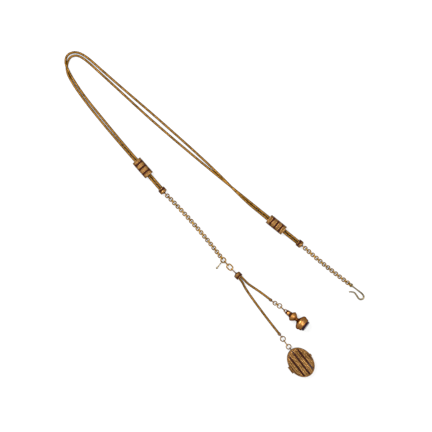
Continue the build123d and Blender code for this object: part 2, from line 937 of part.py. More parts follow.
hook_eye_centre = hang(right_links[-1].origin, link, hook_eye, right_chain_headings[1])
hook_plane = lying(hook_eye_centre, hook_heading, -hook_droop)


def watch_hook():
    """The watch hook: an eye, a shank, a bight and a return that flares out at its tip."""
    corners = [(x * hook_reach, y * hook_depth) for x, y in hook_shares]
    points = [(hook_eye.reach, 0)] + corners
    radii = bend_radii([(x, y, 0) for x, y in points])
    loop = ring_solid(hook_eye)
    with BuildPart() as hook:
        with BuildLine(hook_plane) as path:
            FilletPolyline(*points, radius=radii)
        with BuildSketch(Plane(origin=path.line @ 0, z_dir=path.line % 0)):
            Circle(hook_wire / 2)
        sweep()
        with Locations(Location(path.line @ 1)):
            Sphere(hook_wire / 2)
        with Locations(hook_plane):
            add(loop)
    return hook.part


# Root body: the two strands between their end caps
for name, route, side in (("strand_over", over_route, 1), ("strand_under", under_route, -1)):
    keep(cord_tube(name, strand_points(route, side), strand_diameter), name)
for name, plane in (("left", left_cap_plane), ("right", right_cap_plane)):
    keep(cap_shell(plane, cap_eye), f"{name}_cap")
    keep(cap_band(plane), f"{name}_cap_enamel")
    slide = slide_plane(plane)
    keep(slide_barrel(slide), f"{name}_slide")
    keep(slide_bands(slide), f"{name}_slide_enamel")
    keep(slide_liner(slide), f"{name}_slide_liner")

# Chains, in runs of links that each hinge on their first link
link_ring = ring_solid(link)
for name, planes in (("left", left_links), ("right", right_links)):
    for start in range(0, len(planes), links_per_run):
        number = start // links_per_run + 1
        keep(ring_group(link_ring, planes[start : start + links_per_run]), f"{name}_links_{number}")

# Junction and fob cap
keep_ring(junction, lying(junction_centre, junction_heading), "junction_ring")
keep(bar(), "drop_bar")
keep_ring(connector, standing(connector_centre, junction_heading, climb_pitch), "connector_link")
keep_ring(oval, lying(oval_centre, junction_heading, climb_pitch), "oval_link")
rivet = keep(cap_rivet(), "fob_cap_rivet")
keep(drilled(cap_shell(fob_cap_plane, fob_eye), rivet), "fob_cap")
keep(cap_band(fob_cap_plane), "fob_cap_enamel")
keep(cord_tube("long_fob_cord", long_cord_points, strand_diameter), "long_fob_cord")
keep(cord_tube("short_fob_cord", short_cord_points, strand_diameter), "short_fob_cord")
keep(ferrule(long_ferrule), "long_cord_ferrule")
keep(ferrule(short_ferrule), "short_cord_ferrule")

# Seal
for number, (ring, centre, heading) in enumerate(zip(seal_rings, seal_centres, seal_ring_headings)):
    plane = standing(centre, heading) if number % 2 else lying(centre, heading)
    keep_ring(ring, plane, f"seal_ring_{number + 1}")
keep_ring(seal_link, standing(seal_link_centre, seal_link_heading), "seal_link")
keep(seal_bell(), "seal_bell")
keep(seal_collars(), "seal_enamel")
keep(seal_foot(), "seal_foot")
keep(seal_stone(), "seal_stone")

# Locket
keep_ring(locket_ring, lying(locket_ring_centre, locket_branch_heading), "locket_ring")
keep_ring(locket_link, standing(locket_link_centre, locket_branch_heading), "locket_link")
keep_ring(bail, lying(bail_centre, bail_heading), "locket_bail")
stripes = locket_enamel()
keep(locket_back(), "locket_back")
keep(locket_cover(stripes), "locket_cover")
keep(stripes, "locket_enamel")
keep(locket_frame(), "locket_frame")
keep(locket_glass(), "locket_glass")
keep(locket_pin(), "locket_hinge_pin")

# Watch hook
keep(watch_hook(), "watch_hook")
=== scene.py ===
import json
from math import cos, pi, radians, sin, tau

import bmesh
import bpy
import numpy as np
from mathutils import Matrix, Vector


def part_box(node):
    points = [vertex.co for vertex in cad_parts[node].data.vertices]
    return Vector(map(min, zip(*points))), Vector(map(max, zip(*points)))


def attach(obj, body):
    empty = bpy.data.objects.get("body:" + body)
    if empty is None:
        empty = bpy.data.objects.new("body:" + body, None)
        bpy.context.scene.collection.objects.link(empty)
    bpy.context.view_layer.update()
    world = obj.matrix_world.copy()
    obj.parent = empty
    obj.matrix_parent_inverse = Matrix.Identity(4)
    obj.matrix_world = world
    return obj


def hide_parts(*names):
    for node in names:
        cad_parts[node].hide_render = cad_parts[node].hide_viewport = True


bl_info = {
    "name": "Woven Watch Fob",
    "version": (1, 0, 0),
    "blender": (4, 5, 0),
    "location": "3D View > Sidebar > Watch Fob",
    "description": "Dresses a double-strand watch fob chain with its slides, seal and locket",
    "category": "Add Mesh",
}

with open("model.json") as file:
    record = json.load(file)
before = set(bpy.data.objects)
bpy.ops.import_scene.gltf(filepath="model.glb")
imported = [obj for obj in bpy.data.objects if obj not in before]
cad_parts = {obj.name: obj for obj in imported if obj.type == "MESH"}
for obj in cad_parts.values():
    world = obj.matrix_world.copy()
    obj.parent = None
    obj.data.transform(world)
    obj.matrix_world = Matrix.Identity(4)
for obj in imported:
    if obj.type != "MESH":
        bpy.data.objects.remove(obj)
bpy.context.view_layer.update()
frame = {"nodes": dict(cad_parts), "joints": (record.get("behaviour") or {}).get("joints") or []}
MM = 0.001
UP = Vector((0, 0, 1))
JOINTS = {joint["name"]: joint for joint in frame["joints"]}

# How thick a link's six-sided solid is from flat to flat, as a share of its round wire
WIRE_FLATS = 0.866

# Corners of a solid that lie closer than this are one
MERGE = 0.001 * MM

# Routes of the strands and the fob's cords, as control points in metres
OVER_ROUTE = [
    (-0.0858, 0.0869, 0.0007), (-0.0978, 0.1016, 0.0007), (-0.1051, 0.1123, 0.0007),
    (-0.1078, 0.1174, 0.00225), (-0.11, 0.1227, 0.00225), (-0.1086, 0.1277, 0.0015),
    (-0.1031, 0.1293, 0.0007), (-0.097, 0.1261, 0.0007), (-0.0896, 0.1195, 0.0007),
    (-0.0771, 0.1085, 0.0007), (-0.0532, 0.088, 0.0007), (-0.022, 0.0601, 0.0007),
]
UNDER_ROUTE = [
    (-0.0873, 0.0859, 0.0007), (-0.0991, 0.1007, 0.0007), (-0.1068, 0.112, 0.0007),
    (-0.1093, 0.1179, 0.0007), (-0.1086, 0.1233, 0.0007), (-0.1065, 0.1264, 0.0007),
    (-0.1026, 0.1271, 0.0007), (-0.0979, 0.1244, 0.0007), (-0.0909, 0.1181, 0.0007),
    (-0.0789, 0.1071, 0.0007), (-0.0559, 0.0859, 0.0007), (-0.0233, 0.0585, 0.0007),
]
LONG_CORD_ROUTE = [
    (-0.0023, -0.0123, 0.0009), (0.0026, -0.0194, 0.0007), (0.0094, -0.0286, 0.0007),
    (0.0149, -0.0357, 0.00095), (0.0187, -0.0405, 0.00135),
]
SHORT_CORD_ROUTE = [
    (-0.0003, -0.0101, 0.0012), (0.0043, -0.0131, 0.0007), (0.0096, -0.0168, 0.0008),
    (0.0136, -0.02, 0.00135),
]


def size(label, text, value):
    """A length that a user may change, in metres."""
    return bpy.props.FloatProperty(
        name=label, description=text, default=value * MM, min=0, precision=5,
        unit="LENGTH", subtype="DISTANCE",
    )


def colour(label, text, red, green, blue):
    """A surface colour, written as it looks on a screen from 0 to 255."""
    shades = [
        ((level / 255 + 0.055) / 1.055) ** 2.4 if level > 10 else level / 255 / 12.92
        for level in (red, green, blue)
    ]
    return bpy.props.FloatVectorProperty(
        name=label, description=text, default=shades, size=3, min=0, max=1, subtype="COLOR"
    )


class StrandSizes(bpy.types.PropertyGroup):
    diameter: size("Diameter", "Thickness of a woven strand", 1.4)
    spacing: size("Spacing", "From one strand's middle to the other's inside the slides", 1.46)
    pitch: size("Lay", "Length of one turn of a wire bundle round a strand", 4.4)
    pocket: size("Pocket", "How deep a strand goes into its cap", 1.2)
    left_straight: size("Left straight", "Straight stretch behind the left cap", 35.6)
    right_straight: size("Right straight", "Straight stretch behind the right cap", 40.2)
    settle: size("Settled stretch", "Where a strand starts to bend behind its slide", 24.0)


class WireSizes(bpy.types.PropertyGroup):
    cap_eye: size("Cap eye", "Outer width of the eye on a cap", 2.4)
    cap_eye_wire: size("Cap eye wire", "Thickness of a cap eye's wire", 0.62)
    fob_eye: size("Fob eye", "Outer length of the eye on the fob cap", 4.4)
    small_eye: size("Ferrule eye", "Outer width of the eye on a ferrule", 2.0)
    small_wire: size("Fine wire", "Thickness of the fine eyes' wire", 0.54)
    seal_loop: size("Seal loop", "Outer width of the loop on the seal", 2.2)
    hook: size("Hook wire", "Thickness of the watch hook's wire at its bend", 1.05)
    hook_eye: size("Hook eye", "Outer width of the watch hook's eye", 2.4)
    hook_eye_wire: size("Hook eye wire", "Thickness of the wire of the watch hook's eye", 0.8)
    hook_reach: size("Hook reach", "From the hook's eye to the far side of its bend", 11.1)
    hook_depth: size("Hook depth", "How far the hook turns back to its side", 3.7)
    bar_length: size("Bar length", "From the drop bar's eye to its tip", 4.6)
    bar: size("Bar", "Thickness of the drop bar", 0.85)
    bar_knob: size("Bar knob", "Thickness of the drop bar's tip", 1.2)
    bar_eye: size("Bar eye", "Outer width of the drop bar's eye", 1.95)
    bar_eye_wire: size("Bar eye wire", "Thickness of the drop bar's eye wire", 0.42)


class Finishes(bpy.types.PropertyGroup):
    gold: colour("Gold", "Polished gold of the slides, caps and locket", 164, 120, 70)
    gold_shade: colour("Gold shade", "Worn and toned gold", 110, 78, 40)
    # Matted gold, darker still as painted shade between the locket's beads
    ground: colour("Matted gold", "Dark matted gold under the locket's beads", 136, 96, 52)
    ground_shade: colour("Matted gold shade", "Toned matted gold", 92, 62, 32)
    # Painted highlight: a lighter copy of the polished gold for the beads and ridges
    beads: colour("Bead gold", "Bright gold of the locket's beads", 186, 142, 86)
    beads_shade: colour("Bead gold shade", "Toned gold between the beads", 128, 92, 50)
    weave: colour("Woven gold", "Gold of the woven strands", 146, 104, 42)
    weave_shade: colour("Woven gold shade", "Toned gold between the wires", 100, 68, 22)
    chain: colour("Chain gold", "Gold of the links", 168, 124, 36)
    chain_shade: colour("Chain gold shade", "Toned gold of the links", 108, 74, 14)
    pale: colour("Pale gold", "Pale wire of the watch hook and drop bar", 146, 130, 98)
    pale_shade: colour("Pale gold shade", "Dull pale wire", 98, 86, 60)
    seal: colour("Seal gold", "Warm gold of the seal", 180, 126, 70)
    seal_shade: colour("Seal gold shade", "Toned gold of the seal", 136, 90, 46)
    enamel: colour("Enamel", "Near-black brown enamel of the bands", 62, 24, 8)
    stripe: colour("Stripe enamel", "Near-black wine-coloured enamel of the locket", 46, 6, 4)
    stone: colour("Stone", "Dark stone of the seal", 36, 2, 22)
    liner: colour("Liner", "Soft leather inside the slides", 96, 64, 40)


class StageSizes(bpy.types.PropertyGroup):
    focal: bpy.props.FloatProperty(
        name="Focal length", description="Camera lens in millimetres", default=100.0, min=1.0
    )
    height: size("Camera height", "Camera above the table", 720.0)
    floor: size("Floor", "Side of the pale floor", 6000.0)


def unit(vector):
    """A vector's direction."""
    return Vector(vector).normalized()


def settings():
    """The user's sizes and colours."""
    return bpy.context.scene.watch_fob


def added(name, data):
    """A new object in the scene."""
    made = bpy.data.objects.new(name, data)
    bpy.context.scene.collection.objects.link(made)
    return made


# Reading places from the frame


def islands(node):
    """Each separate solid of a node, as the list of its corners."""
    mesh = bmesh.new()
    mesh.from_mesh(frame["nodes"][node].data)
    bmesh.ops.remove_doubles(mesh, verts=mesh.verts, dist=MERGE)
    found = []
    seen = set()
    for first in mesh.verts:
        if first in seen:
            continue
        group = []
        waiting = [first]
        seen.add(first)
        while waiting:
            corner = waiting.pop()
            group.append(tuple(corner.co))
            for edge in corner.link_edges:
                other = edge.other_vert(corner)
                if other not in seen:
                    seen.add(other)
                    waiting.append(other)
        found.append(np.array(group))
    mesh.free()
    return found


def spread(points):
    """A solid's middle, its three main directions from the longest to the shortest, and its sizes."""
    middle = points.mean(axis=0)
    axes = np.linalg.svd(points - middle, full_matrices=False)[2]
    reach = (points - middle) @ axes.T
    sizes = reach.max(axis=0) - reach.min(axis=0)
    return Vector(middle), [Vector(axis) for axis in axes], sizes


def extent(node, origin, ahead):
    """How far from an origin a node's solid starts and stops along a direction."""
    far = islands(node)[0] @ np.array(ahead)
    return far.min() - origin.dot(ahead), far.max() - origin.dot(ahead)


def placed(origin, x_axis, z_axis):
    """The matrix of a place whose Z and X directions are given."""
    z_axis = unit(z_axis)
    y_axis = unit(z_axis.cross(unit(x_axis)))
    x_axis = y_axis.cross(z_axis)
    turn = Matrix((x_axis, y_axis, z_axis)).transposed().to_4x4()
    return Matrix.Translation(origin) @ turn


def joint_place(name):
    """A joint's pivot and its direction."""
    joint = JOINTS[name]
    return Vector(joint["pos_m"]), unit(joint["axis"])


# Making meshes


class Shape:
    """Corners and faces that make up one piece."""

    def __init__(self):
        self.corners = []
        self.faces = []

    def grid(self, rows, closed=True):
        """A skin over rows of closed loops: it joins up with its start, or has flat ends."""
        rows = np.asarray(rows, dtype=float)
        count, width = rows.shape[:2]
        base = len(self.corners)
        self.corners.extend(map(tuple, rows.reshape(-1, 3)))
        for row in range(count if closed else count - 1):
            after = (row + 1) % count
            for column in range(width):
                beside = (column + 1) % width
                self.faces.append(
                    (base + row * width + column, base + row * width + beside,
                     base + after * width + beside, base + after * width + column)
                )
        if not closed:
            self.faces.append(tuple(base + column for column in reversed(range(width))))
            last = base + (count - 1) * width
            self.faces.append(tuple(last + column for column in range(width)))

    def piece(self, name, body, slot, material, replaces=()):
        """The finished mesh, smooth, riding on its body."""
        mesh = bpy.data.meshes.new(name)
        mesh.from_pydata(self.corners, [], self.faces)
        clean = bmesh.new()
        clean.from_mesh(mesh)
        bmesh.ops.recalc_face_normals(clean, faces=clean.faces)
        clean.to_mesh(mesh)
        clean.free()
        mesh.polygons.foreach_set("use_smooth", [True] * len(mesh.polygons))
        mesh.materials.append(material)
        made = added(name, mesh)
        mesh.set_sharp_from_angle(angle=radians(38))
        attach(made, body)
        if replaces:
            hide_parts(*replaces)
        return made


def moved(matrix, points):
    """Points of any grid, carried to a place."""
    points = np.asarray(points, dtype=float)
    turn = np.array(matrix.to_3x3())
    return points @ turn.T + np.array(matrix.translation)


def turns(count):
    """The angles of a full turn in even steps."""
    return [tau * step / count for step in range(count)]


def circle(middle, first, second, radius, sides):
    """Points round a middle, in the plane of two directions."""
    return [middle + radius * (first * cos(turn) + second * sin(turn)) for turn in turns(sides)]


def wire_ring(shape, place, length, width, wire, around=44, sides=12):
    """A smooth closed ring of wire, its long way along the place's X, flat in its XY."""
    bend = (width - wire) / 2
    straight = max(0.0, (length - width) / 2)
    above = np.array(UP)
    rows = []
    for step in range(around):
        angle = tau * (step + 0.5) / around
        out = np.array((cos(angle), sin(angle), 0))
        middle = np.array((straight if out[0] > 0 else -straight, 0, 0)) + out * bend
        rows.append(circle(middle, out, above, wire / 2, sides))
    shape.grid(moved(place, rows))


def turned(shape, place, profile, around=56):
    """A turned form: profile points are (distance along Z, radius) in metres."""
    rows = [
        [(far * cos(turn), far * sin(turn), along) for turn in turns(around)] for along, far in profile
    ]
    shape.grid(moved(place, rows), closed=False)


def rounded(points, rounding=0.35, steps=3):
    """A profile in metres from one in millimetres, with its corners rounded off."""
    points = [np.array(point, dtype=float) for point in points]
    result = [points[0]]
    for before, corner, after in zip(points, points[1:], points[2:]):
        entry = corner + (before - corner) * rounding
        leave = corner + (after - corner) * rounding
        for step in range(steps + 1):
            share = step / steps
            rest = 1 - share
            result.append(entry * rest**2 + corner * 2 * share * rest + leave * share**2)
    result.append(points[-1])
    return [tuple(point * MM) for point in result]


def bead(shape, place, long, wide, high, around=8, rings=4):
    """A low domed bead that stands on the place's XY."""
    rows = []
    for ring in range(rings):
        out, rise = cos(pi / 2 * ring / rings), sin(pi / 2 * ring / rings)
        rows.append(
            [(long * out * cos(turn), wide * out * sin(turn), high * rise) for turn in turns(around)]
        )
    shape.grid(moved(place, rows), closed=False)


# Where the rings of a tube's rounded end lie, as shares of a quarter turn
DOME_SHARES = [step / 3.3 for step in (1, 2, 3)]


def directions(line):
    """At each point of a line, the way ahead, the way beside it on the table and the way above."""
    ahead = np.gradient(line, axis=0)
    ahead /= np.linalg.norm(ahead, axis=1)[:, None]
    beside = np.cross(ahead, np.array(UP))
    beside /= np.linalg.norm(beside, axis=1)[:, None]
    return ahead, beside, np.cross(beside, ahead)


def tube(shape, line, radius, sides=12, taper=None):
    """A round tube along a line of points, with both ends closed and rounded."""
    line = np.asarray(line, dtype=float)
    ahead, beside, above = directions(line)
    last = len(line) - 1
    thick = [radius * (taper(number / last) if taper else 1.0) for number in range(last + 1)]
    rows = [circle(*ring, sides) for ring in zip(line, beside, above, thick)]
    for number, way in ((0, -1), (-1, 1)):  # the first ring, then the last
        full = np.array(rows[number])
        for share in DOME_SHARES:
            cap = line[number] + (full - line[number]) * cos(pi / 2 * share)
            cap = cap + ahead[number] * way * thick[number] * sin(pi / 2 * share)
            if way < 0:
                rows.insert(0, cap)
            else:
                rows.append(cap)
    shape.grid(rows, closed=False)


# Materials


def fresh(name, values):
    """A new material, its nodes and its shader, with the values of the shader's own inputs."""
    material = bpy.data.materials.new(name)
    material.use_nodes = True
    tree = material.node_tree
    shader = tree.nodes["Principled BSDF"]
    for title, value in values.items():
        shader.inputs[title].default_value = value
    return material, tree, shader


def shader_node(tree, kind, **values):
    """A new node, with the values of its inputs, whose names are written with underscores."""
    made = tree.nodes.new(f"ShaderNode{kind}")
    for title, value in values.items():
        made.inputs[title.replace("_", " ")].default_value = value
    return made


def join(tree, *pairs):
    """Joins nodes, each pair written as a node, its output, the next node and its input."""
    for first, output, second, socket in pairs:
        tree.links.new(first.outputs[output], second.inputs[socket])


def two_tone(tree, dark_at, dark, light_at, light):
    """A ramp from a dark colour at one level to a light one at another."""
    made = shader_node(tree, "ValToRGB")
    for element, level, tone in zip(made.color_ramp.elements, (dark_at, light_at), (dark, light)):
        element.position = level
        element.color = (*tone, 1)
    return made


def arithmetic(tree, operation, *values):
    """The result of a sum whose values are outputs of other nodes, or plain numbers."""
    made = shader_node(tree, "Math")
    made.operation = operation
    for socket, value in zip(made.inputs, values):
        if isinstance(value, float):
            socket.default_value = value
        else:
            tree.links.new(value, socket)
    return made.outputs[0]


def painted_shade_factor(tree, hollow_reach, hollow_shade_level, side_shade_level):
    """A factor for painted shade: lower in hollows and on sides that turn away from overhead."""
    hollow = shader_node(tree, "AmbientOcclusion", Distance=hollow_reach)
    hollow.samples = 8
    depth = shader_node(tree, "MapRange", From_Min=0.25, From_Max=0.85, To_Min=hollow_shade_level)
    surface = shader_node(tree, "NewGeometry")
    split = shader_node(tree, "SeparateXYZ")
    side = shader_node(tree, "MapRange", From_Min=0.1, From_Max=0.85, To_Min=side_shade_level)
    join(tree, (hollow, "AO", depth, "Value"))
    join(tree, (surface, "Normal", split, 0), (split, "Z", side, "Value"))
    return arithmetic(tree, "MULTIPLY", depth.outputs["Result"], side.outputs["Result"])


# How far the painted shade in a hollow of the gold reaches, and how deep its fine dents and the
# leather's are
PAINTED_SHADE_REACH = 0.9 * MM
DENT_DEPTH = 0.05 * MM


# hollow and side set how dark the painted shade makes the colour in hollows and on sides
def gold_finish(name, light, shade, roughness, grain=900.0, bump=0.12, hollow=0.35, side=0.4):
    """Metal whose tone wanders, with fine wear, and with painted shade that darkens its hollows and its
    sides.
    """
    material, tree, shader = fresh(name, {"Metallic": 1.0, "Specular Tint": (*shade, 1)})
    place = shader_node(tree, "TexCoord")
    tone = shader_node(tree, "TexNoise", Scale=grain / 4, Detail=6)
    tones = two_tone(tree, 0.3, shade, 0.62, light)
    darken = shader_node(tree, "Mix")
    darken.data_type = "RGBA"
    darken.blend_type = "MULTIPLY"
    darken.inputs["Factor"].default_value = 1.0
    wear = shader_node(tree, "TexNoise", Scale=grain * 2, Detail=4)
    rough = shader_node(tree, "MapRange", To_Min=roughness * 0.75, To_Max=roughness * 1.35)
    dents = shader_node(tree, "Bump", Strength=bump, Distance=DENT_DEPTH)
    # Painted shade: the colour is darkened in hollows and on sides that turn away from overhead
    tree.links.new(painted_shade_factor(tree, PAINTED_SHADE_REACH, hollow, side), darken.inputs["B"])
    join(
        tree, (place, "Object", tone, "Vector"), (place, "Object", wear, "Vector"),
        (tone, "Fac", tones, "Fac"), (tones, "Color", darken, "A"),
        (darken, "Result", shader, "Base Color"), (wear, "Fac", rough, "Value"),
        (rough, "Result", shader, "Roughness"),
        (wear, "Fac", dents, "Height"), (dents, "Normal", shader, "Normal"),
    )
    return material


def glassy_finish(name, shade, roughness, coat):
    """Dark glassy enamel or stone with a faint cloud in its colour."""
    values = {"Specular IOR Level": 0.08, "Coat Weight": coat, "Coat Roughness": 0.06}
    material, tree, shader = fresh(name, values)
    place = shader_node(tree, "TexCoord")
    cloud = shader_node(tree, "TexNoise", Scale=700, Detail=5)
    dark, light = ([part * share for part in shade] for share in (0.5, 1.1))
    tones = two_tone(tree, 0.35, dark, 0.7, light)
    rough = shader_node(tree, "MapRange", To_Min=roughness * 0.7, To_Max=roughness * 1.4)
    join(
        tree, (place, "Object", cloud, "Vector"), (cloud, "Fac", tones, "Fac"),
        (tones, "Color", shader, "Base Color"), (cloud, "Fac", rough, "Value"),
        (rough, "Result", shader, "Roughness"),
    )
    return material


def clear_glass():
    """The locket's glass, with a trace of dust."""
    material = glassy_finish("clear_glass", (0.85, 0.9, 0.9), 0.08, 0.0)
    material.node_tree.nodes["Principled BSDF"].inputs["Transmission Weight"].default_value = 0.95
    return material


def leather_finish(name, shade):
    """Soft leather with a fine grain."""
    material = glassy_finish(name, shade, 0.8, 0.0)
    tree = material.node_tree
    grain = shader_node(tree, "TexVoronoi", Scale=4000)
    dents = shader_node(tree, "Bump", Strength=0.4, Distance=DENT_DEPTH)
    shader = tree.nodes["Principled BSDF"]
    join(tree, (grain, "Distance", dents, "Height"), (dents, "Normal", shader, "Normal"))
    return material


# Each gold's material, its roughness, and its grain and how dark its painted shade is in hollows and on
# sides
GOLDS = {
    "gold": ("polished_gold", 0.3, {}),
    # The matted gold is darkened as painted shade between the locket's beads
    "ground": ("matted_gold", 0.5, {}),
    # The bead gold is a lighter copy of the gold, a painted highlight
    "beads": ("bead_gold", 0.32, {"hollow": 0.6, "side": 0.5}),
    "weave": ("woven_gold", 0.45, {"grain": 1600, "side": 0.5}),
    "chain": ("chain_gold", 0.3, {"hollow": 0.25, "side": 0.3}),
    "pale": ("pale_gold_wire", 0.32, {}),
    "seal": ("seal_gold", 0.32, {"side": 0.3}),
}

# Each enamel's or stone's material, its roughness and its coat
GLASSY = {
    "enamel": ("band_enamel", 0.25, 0.1),
    "stripe": ("locket_stripe_enamel", 0.25, 0.1),
    "stone": ("seal_stone_polish", 0.15, 0.2),
}
MADE = {}


def finish(name):
    """A finish by name, made when it is first asked for."""
    if name not in MADE:
        tones = settings().finishes
        if name in GOLDS:
            # The third column holds the grain and the levels of painted shade in hollows and on sides
            title, roughness, wear = GOLDS[name]
            light, shade = getattr(tones, name), getattr(tones, f"{name}_shade")
            MADE[name] = gold_finish(title, light, shade, roughness, **wear)
        elif name in GLASSY:
            title, roughness, coat = GLASSY[name]
            MADE[name] = glassy_finish(title, getattr(tones, name), roughness, coat)
        elif name == "liner":
            MADE[name] = leather_finish("slide_leather", tones.liner)
        else:
            MADE[name] = clear_glass()
    return MADE[name]


def dress(solid, name):
    """Gives a solid that stays as it is its finish."""
    owner = frame["nodes"][solid]
    owner.data.materials.clear()
    owner.data.materials.append(finish(name))


# Strands and cords


def mouth(side):
    """A cap's mouth, its direction into the cap, and the direction to the left of that."""
    band, axes, _ = spread(islands(f"{side}_cap_enamel")[0])
    shell = Vector(islands(f"{side}_cap")[0].mean(axis=0))
    axis = axes[2] if axes[2].dot(shell - band) > 0 else -axes[2]
    start, _ = extent(f"{side}_cap", band, axis)
    return band + axis * start, axis, UP.cross(axis)


def pair_point(place, distance, side):
    """A point of one cord's line: so far past a mouth, on one side of the pair."""
    origin, ahead, left = place
    return tuple(origin + ahead * distance + left * (side * settings().strands.spacing / 2))


def strand_controls(route, side):
    """A strand's control points from one cap's pocket to the other's."""
    sizes = settings().strands
    left = mouth("left")
    right = mouth("right")
    start = [sizes.pocket, -sizes.settle, -sizes.left_straight]
    end = [-sizes.right_straight, -sizes.settle, sizes.pocket]
    points = [pair_point(left, distance, side) for distance in start]
    points += route
    return points + [pair_point(right, distance, -side) for distance in end]


def smooth_line(name, controls):
    """The points that Blender gives for the smooth curve that a route's control points draw."""
    curve = bpy.data.curves.new(name, "CURVE")
    curve.dimensions = "3D"
    curve.resolution_u = 24
    spline = curve.splines.new("NURBS")
    spline.points.add(len(controls) - 1)
    for point, place in zip(spline.points, controls):
        point.co = (*place, 1.0)
    spline.order_u = 3
    spline.use_endpoint_u = True
    owner = added(name, curve)
    bpy.context.view_layer.update()
    mesh = bpy.data.meshes.new_from_object(owner)
    line = np.array([tuple(corner.co) for corner in mesh.vertices])
    bpy.data.objects.remove(owner)
    bpy.data.curves.remove(curve)
    bpy.data.meshes.remove(mesh)
    return line


def even(line, step):
    """The same line with its points a step apart."""
    gaps = np.linalg.norm(np.diff(line, axis=0), axis=1)
    far = np.concatenate(([0], np.cumsum(gaps)))
    count = int(round(far[-1] / step))
    at = np.linspace(0, far[-1], count + 1)
    return np.stack([np.interp(at, far, line[:, axis]) for axis in range(3)], axis=1), at


# The braid's bundles a way, and how many sides a bundle and the core have
BUNDLES = 4
BUNDLE_SIDES = 6
CORE_SIDES = 8

# Steps of a strand's line in one turn of its bundles, and in one step of its core
LAY_STEPS = 28
CORE_STEPS = 4

# Shares of a strand's radius: where the bundles lie, how far they go over and under each other, their
# half width and half thickness, and the core
BRAID_MIDDLE = 0.76
BRAID_WANDER = 0.1
BUNDLE_WIDE = 0.6
BUNDLE_THICK = 0.22
CORE_SHARE = 0.9


def weave(name, line, body, replaced):
    """A round braid of eight wire bundles over a core, along a line."""
    sizes = settings().strands
    radius = sizes.diameter / 2
    line, at = even(line, sizes.pitch / LAY_STEPS)
    ahead, beside, above = directions(line)
    shape = Shape()
    for way in (1, -1):
        for bundle in range(BUNDLES):
            angle = way * tau * at / sizes.pitch + tau * bundle / BUNDLES
            out = beside * np.cos(angle)[:, None] + above * np.sin(angle)[:, None]
            along = np.cross(ahead, out)
            wave = np.cos(BUNDLES * tau * at / sizes.pitch)
            centre = line + out * (radius * (BRAID_MIDDLE + way * BRAID_WANDER * wave))[:, None]
            rows = circle(centre, along * BUNDLE_WIDE, out * BUNDLE_THICK, radius, BUNDLE_SIDES)
            shape.grid(np.stack(rows, axis=1), closed=False)
    core = slice(None, None, CORE_STEPS)
    rows = circle(line[core], beside[core], above[core], radius * CORE_SHARE, CORE_SIDES)
    shape.grid(np.stack(rows, axis=1), closed=False)
    return shape.piece(name, body, "woven_gold", finish("weave"), (replaced,)), line, at[-1]


class FOB_OT_strands(bpy.types.Operator):
    """Weave the two long strands from cap to cap"""

    bl_idname = "watch_fob.strands"
    bl_label = "Weave strands"

    def execute(self, context):
        for name, route, side in (("over", OVER_ROUTE, 1), ("under", UNDER_ROUTE, -1)):
            line = smooth_line(f"{name}_line", strand_controls(route, side))
            piece, line, length = weave(f"woven_strand_{name}", line, "strands", f"strand_{name}")
        return {"FINISHED"}


def fob_controls(route, side):
    """A fob cord's control points from the fob cap's pocket to its ferrule."""
    sizes = settings().strands
    place = mouth("fob")
    start = [pair_point(place, distance, side) for distance in (sizes.pocket, -2 * sizes.pocket)]
    return start + route


class FOB_OT_fob_cords(bpy.types.Operator):
    """Weave the long and the short cord that carry the locket and the seal"""

    bl_idname = "watch_fob.fob_cords"
    bl_label = "Weave fob cords"

    def execute(self, context):
        for name, route, side in (("long", LONG_CORD_ROUTE, 1), ("short", SHORT_CORD_ROUTE, -1)):
            line = smooth_line(f"{name}_line", fob_controls(route, side))
            piece, line, length = weave(f"woven_cord_{name}", line, "fob", f"{name}_fob_cord")
            ferrule(name, route)
        return {"FINISHED"}


FERRULE_RADIUS = 0.95 * MM


def ferrule(name, route):
    """The turned sleeve and eye on a fob cord's end."""
    wires = settings().wires
    node = f"{name}_cord_ferrule"
    end = Vector(route[-1])
    ahead = unit(end - Vector(route[-2]))
    start, stop = extent(node, end, ahead)
    sleeve = stop - start - wires.small_eye
    radius = FERRULE_RADIUS
    lip = radius * 0.12
    shape = Shape()
    place = placed(end + ahead * start, UP.cross(ahead), ahead)
    profile = [
        (0, radius * 0.8), (0, radius + lip), (lip * 2, radius + lip), (lip * 2, radius * 0.93),
        (sleeve * 0.6, radius * 0.93), (sleeve * 0.6, radius), (sleeve * 0.78, radius),
        (sleeve * 0.86, radius * 0.75), (sleeve * 1.08, radius * 0.4), (sleeve * 1.1, radius * 0.1),
    ]
    turned(shape, place, profile, around=32)
    eye = placed(end + ahead * (stop - wires.small_eye / 2), ahead, UP.cross(ahead))
    wire_ring(shape, eye, wires.small_eye, wires.small_eye, wires.small_wire)
    shape.piece(f"{name}_ferrule", "fob", "gold", finish("gold"), (node,))


# Links and rings


def wire_rings(node):
    """Smooth wire rings in place of a node's plain ones."""
    shape = Shape()
    for points in islands(node):
        middle, axes, sizes = spread(points)
        wire = sizes[2] / WIRE_FLATS
        length = max(sizes[0], sizes[1])
        width = min(sizes[0], sizes[1])
        if length - width < wire / 4:
            length = width = (length + width) / 2
        wire_ring(shape, placed(middle, axes[0], axes[2]), length, width, wire)
    shape.piece(f"wire_{node}", node, "chain_gold", finish("chain"), (node,))


class FOB_OT_links(bpy.types.Operator):
    """Make every link and ring of smooth round wire"""

    bl_idname = "watch_fob.links"
    bl_label = "Make links and rings"

    def execute(self, context):
        groups = [node for node in frame["nodes"] if "_links_" in node]
        singles = [
            "junction_ring", "connector_link", "oval_link", "seal_ring_1", "seal_ring_2", "seal_ring_3",
            "seal_link", "locket_ring", "locket_link", "locket_bail",
        ]
        for node in sorted(groups) + singles:
            wire_rings(node)
        return {"FINISHED"}


# Caps and slides


# How far a cap's mouth is hollowed, and the rivet's radius
CAP_HOLLOW = 0.12 * MM
RIVET_RADIUS = 0.45 * MM


